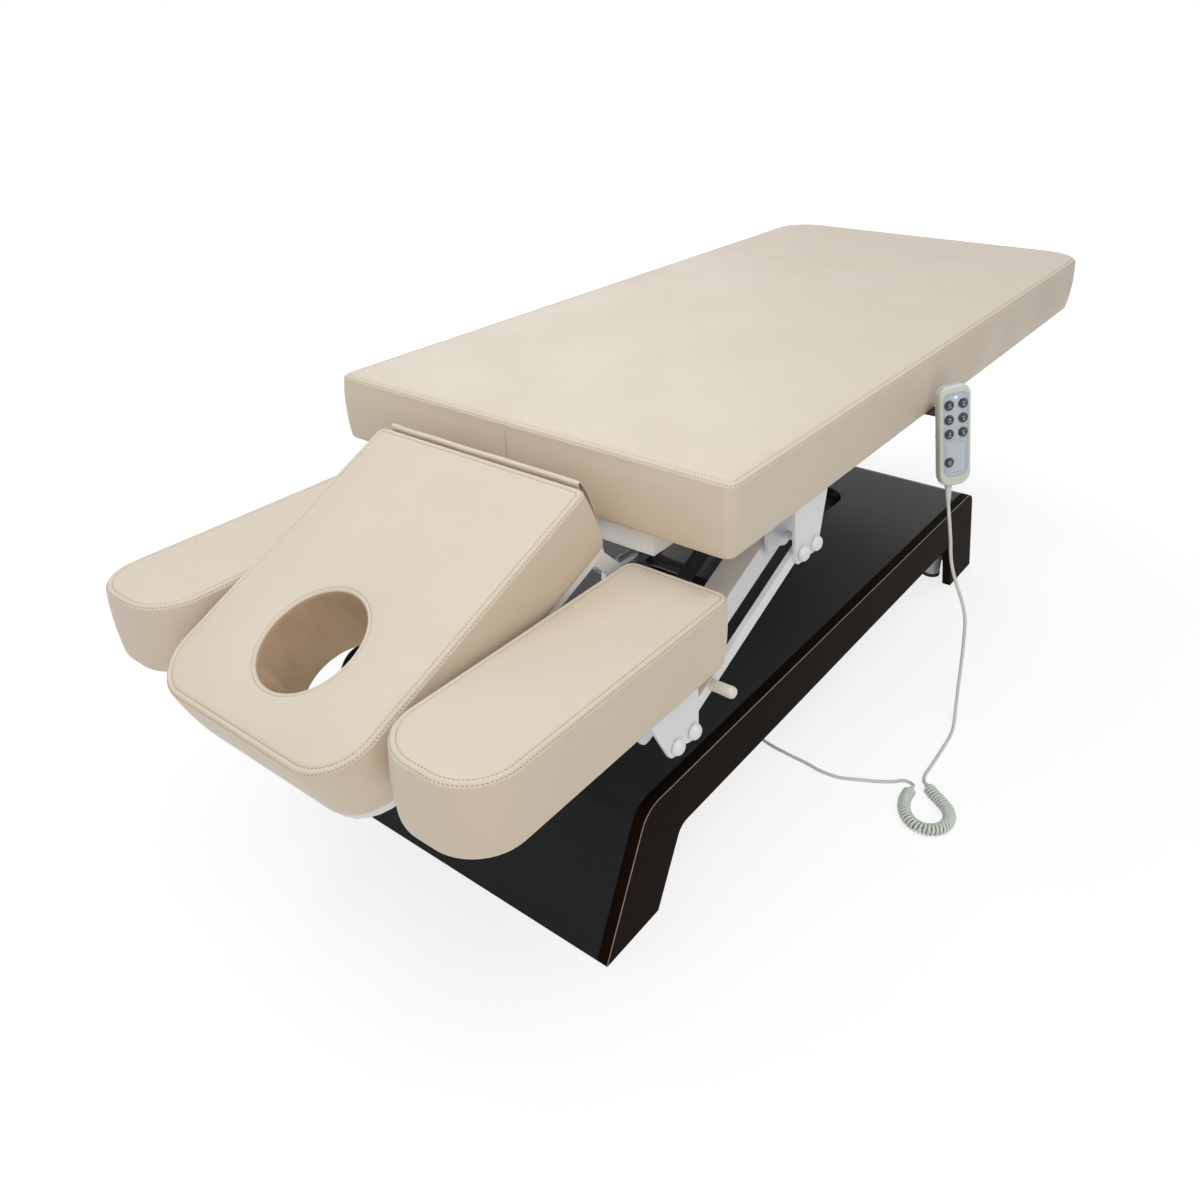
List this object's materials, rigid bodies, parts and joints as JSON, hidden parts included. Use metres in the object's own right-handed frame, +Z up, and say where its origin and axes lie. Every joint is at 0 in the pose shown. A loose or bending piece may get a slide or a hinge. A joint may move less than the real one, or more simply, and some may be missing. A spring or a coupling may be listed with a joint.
{
  "type": "electric massage table",
  "caption": "Electric massage table: padded top with tilting headrest and foot section, two dropped armrests, scissor lift, wooden base and wired handset.",
  "frame": {"origin": "floor level under the middle of the table, measured without the handset's cord", "axes": "+X towards the foot end, +Z up, the handset hangs on the -Y side"},
  "size_m": [1.9438, 0.9708, 0.6695],
  "materials": {
    "cream_vinyl": "sewn cream vinyl over foam",
    "black_laminate": "satin black laminate on board",
    "brown_board": "dark brown laminate on board",
    "white_steel": "white powder coat",
    "black_steel": "black powder coat",
    "bright_steel": "bright ground steel",
    "black_rubber": "black rubber",
    "plywood": "bare plywood",
    "motor_plastic": "dark grey moulded plastic",
    "handset_plastic": "off-white moulded plastic",
    "panel_film": "grey panel film",
    "button_rubber": "dark soft button",
    "cord_plastic": "light grey cord jacket",
    "knob_plastic": "cream moulded knob"
  },
  "bodies": {
    "base": {"casing_side_left": "brown_board", "casing_side_right": "brown_board", "casing_cover": "black_laminate", "base_frame": "white_steel", "floor_foot_head_left": "black_rubber", "floor_foot_head_right": "black_rubber", "floor_foot_foot_left": "black_rubber", "floor_foot_foot_right": "black_rubber", "control_box": "motor_plastic", "lower_pivot_shaft": "bright_steel", "lift_motor": "motor_plastic", "cord_hanging": "cord_plastic", "cord_curly": "cord_plastic", "cord_to_box": "cord_plastic"},
    "lift_rod": {"lift_motor_rod": "bright_steel"},
    "outer_arms": {"outer_lift_arms": "black_steel", "upper_roller_shaft": "bright_steel"},
    "inner_arms": {"inner_lift_arms": "black_steel", "lower_roller_shaft": "bright_steel"},
    "top": {"upper_pivot_shaft": "bright_steel", "headrest_motor": "motor_plastic", "foot_section_motor": "motor_plastic", "top_frame": "white_steel", "main_board": "plywood", "main_cushion": "cream_vinyl", "headrest_flap": "cream_vinyl", "left_upper_bracket": "white_steel", "right_upper_bracket": "white_steel", "handset_hook": "black_steel", "handset_shell": "handset_plastic", "handset_panel": "panel_film", "strain_relief": "cord_plastic"},
    "headrest_rod": {"headrest_motor_rod": "bright_steel"},
    "foot_rod": {"foot_section_motor_rod": "bright_steel"},
    "headrest": {"headrest_frame": "white_steel", "headrest_cushion": "cream_vinyl"},
    "foot_section": {"foot_frame": "white_steel", "foot_board": "plywood", "foot_cushion": "cream_vinyl"},
    "left_flat_link": {"left_flat_link": "white_steel"},
    "left_box_link": {"left_box_link": "white_steel"},
    "left_armrest": {"left_lower_bracket": "white_steel", "left_armrest_board": "plywood", "left_armrest_cushion": "cream_vinyl"},
    "left_lock_knob": {"left_lock_knob": "knob_plastic"},
    "right_flat_link": {"right_flat_link": "white_steel"},
    "right_box_link": {"right_box_link": "white_steel"},
    "right_armrest": {"right_lower_bracket": "white_steel", "right_armrest_board": "plywood", "right_armrest_cushion": "cream_vinyl"},
    "right_lock_knob": {"right_lock_knob": "knob_plastic"},
    "button_bed_up": {"button_bed_up": "button_rubber"},
    "button_bed_down": {"button_bed_down": "button_rubber"},
    "button_head_up": {"button_head_up": "button_rubber"},
    "button_head_down": {"button_head_down": "button_rubber"},
    "button_foot_up": {"button_foot_up": "button_rubber"},
    "button_foot_down": {"button_foot_down": "button_rubber"},
    "button_light": {"button_light": "button_rubber"}
  },
  "joints": [
    {"name": "top_lift", "type": "slide", "parent": "base", "child": "top", "axis": [0, 0, 1], "range_m": [-0.08, 0.12], "deforming": ["cord_hanging"]},
    {"name": "outer_arms_swing", "type": "hinge", "parent": "base", "child": "outer_arms", "pos_m": [0.46973, 0.02855, 0.176], "axis": [0, 1, 0], "range_deg": [-6.11, 9.15]},
    {"name": "inner_arms_swing", "type": "hinge", "parent": "top", "child": "inner_arms", "pos_m": [0.46973, 0.02855, 0.53], "axis": [0, -1, 0], "range_deg": [-6.11, 9.15]},
    {"name": "lift_motor_stroke", "type": "slide", "parent": "base", "child": "lift_rod", "axis": [1, 0, 0], "range_m": [-0.01211, 0.00814]},
    {"name": "headrest_tilt", "type": "hinge", "parent": "top", "child": "headrest", "pos_m": [-0.50227, 0.02855, 0.546], "axis": [0, 1, 0], "range_deg": [0, 32], "deforming": ["headrest_flap"]},
    {"name": "headrest_motor_stroke", "type": "slide", "parent": "top", "child": "headrest_rod", "axis": [1, 0, 0], "range_m": [-0.03052, 0.0002]},
    {"name": "foot_section_tilt", "type": "hinge", "parent": "top", "child": "foot_section", "pos_m": [0.57973, 0.02855, 0.546], "axis": [0, -1, 0], "range_deg": [0, 18]},
    {"name": "foot_motor_stroke", "type": "slide", "parent": "top", "child": "foot_rod", "axis": [1, 0, 0], "range_m": [-0.0002, 0.02523]},
    {"name": "left_armrest_lift", "type": "hinge", "parent": "top", "child": "left_box_link", "pos_m": [-0.24627, 0.27955, 0.485], "axis": [0, 1, 0], "range_deg": [0, 24.53]},
    {"name": "left_flat_link_swing", "type": "hinge", "parent": "top", "child": "left_flat_link", "pos_m": [-0.28427, 0.37355, 0.485], "axis": [0, 1, 0], "range_deg": [-0.02, 24.55]},
    {"name": "left_armrest_level", "type": "hinge", "parent": "left_box_link", "child": "left_armrest", "pos_m": [-0.55227, 0.27955, 0.345], "axis": [0, 1, 0], "range_deg": [-24.55, 0.02]},
    {"name": "left_lock_knob_pull", "type": "slide", "parent": "left_flat_link", "child": "left_lock_knob", "axis": [0, 1, 0], "range_m": [0, 0.006], "stiffness_N_per_m": 1500, "springref_m": -0.004},
    {"name": "right_armrest_lift", "type": "hinge", "parent": "top", "child": "right_box_link", "pos_m": [-0.24627, -0.22245, 0.485], "axis": [0, 1, 0], "range_deg": [0, 24.53]},
    {"name": "right_flat_link_swing", "type": "hinge", "parent": "top", "child": "right_flat_link", "pos_m": [-0.28427, -0.31645, 0.485], "axis": [0, 1, 0], "range_deg": [-0.02, 24.55]},
    {"name": "right_armrest_level", "type": "hinge", "parent": "right_box_link", "child": "right_armrest", "pos_m": [-0.55227, -0.22245, 0.345], "axis": [0, 1, 0], "range_deg": [-24.55, 0.02]},
    {"name": "right_lock_knob_pull", "type": "slide", "parent": "right_flat_link", "child": "right_lock_knob", "axis": [0, -1, 0], "range_m": [0, 0.006], "stiffness_N_per_m": 1500, "springref_m": -0.004},
    {"name": "button_bed_up_press", "type": "slide", "parent": "top", "child": "button_bed_up", "axis": [0.6725, 0.7288, -0.1288], "range_m": [0, 0.001], "stiffness_N_per_m": 1500, "springref_m": -0.0004},
    {"name": "button_bed_down_press", "type": "slide", "parent": "top", "child": "button_bed_down", "axis": [0.6725, 0.7288, -0.1288], "range_m": [0, 0.001], "stiffness_N_per_m": 1500, "springref_m": -0.0004},
    {"name": "button_head_up_press", "type": "slide", "parent": "top", "child": "button_head_up", "axis": [0.6725, 0.7288, -0.1288], "range_m": [0, 0.001], "stiffness_N_per_m": 1500, "springref_m": -0.0004},
    {"name": "button_head_down_press", "type": "slide", "parent": "top", "child": "button_head_down", "axis": [0.6725, 0.7288, -0.1288], "range_m": [0, 0.001], "stiffness_N_per_m": 1500, "springref_m": -0.0004},
    {"name": "button_foot_up_press", "type": "slide", "parent": "top", "child": "button_foot_up", "axis": [0.6725, 0.7288, -0.1288], "range_m": [0, 0.001], "stiffness_N_per_m": 1500, "springref_m": -0.0004},
    {"name": "button_foot_down_press", "type": "slide", "parent": "top", "child": "button_foot_down", "axis": [0.6725, 0.7288, -0.1288], "range_m": [0, 0.001], "stiffness_N_per_m": 1500, "springref_m": -0.0004},
    {"name": "button_light_press", "type": "slide", "parent": "top", "child": "button_light", "axis": [0.6725, 0.7288, -0.1288], "range_m": [0, 0.001], "stiffness_N_per_m": 1500, "springref_m": -0.0004}
  ],
  "couplings": [
    {"joint": "outer_arms_swing", "follows": "top_lift", "rad_per_m": 1.3278},
    {"joint": "inner_arms_swing", "follows": "top_lift", "rad_per_m": 1.3278},
    {"joint": "lift_motor_stroke", "follows": "top_lift", "ratio": -0.09929},
    {"joint": "headrest_motor_stroke", "follows": "headrest_tilt", "m_per_rad": -0.05429},
    {"joint": "foot_motor_stroke", "follows": "foot_section_tilt", "m_per_rad": 0.07967},
    {"joint": "left_flat_link_swing", "follows": "left_armrest_lift", "ratio": 1},
    {"joint": "left_armrest_level", "follows": "left_armrest_lift", "ratio": -1},
    {"joint": "right_flat_link_swing", "follows": "right_armrest_lift", "ratio": 1},
    {"joint": "right_armrest_level", "follows": "right_armrest_lift", "ratio": -1}
  ]
}
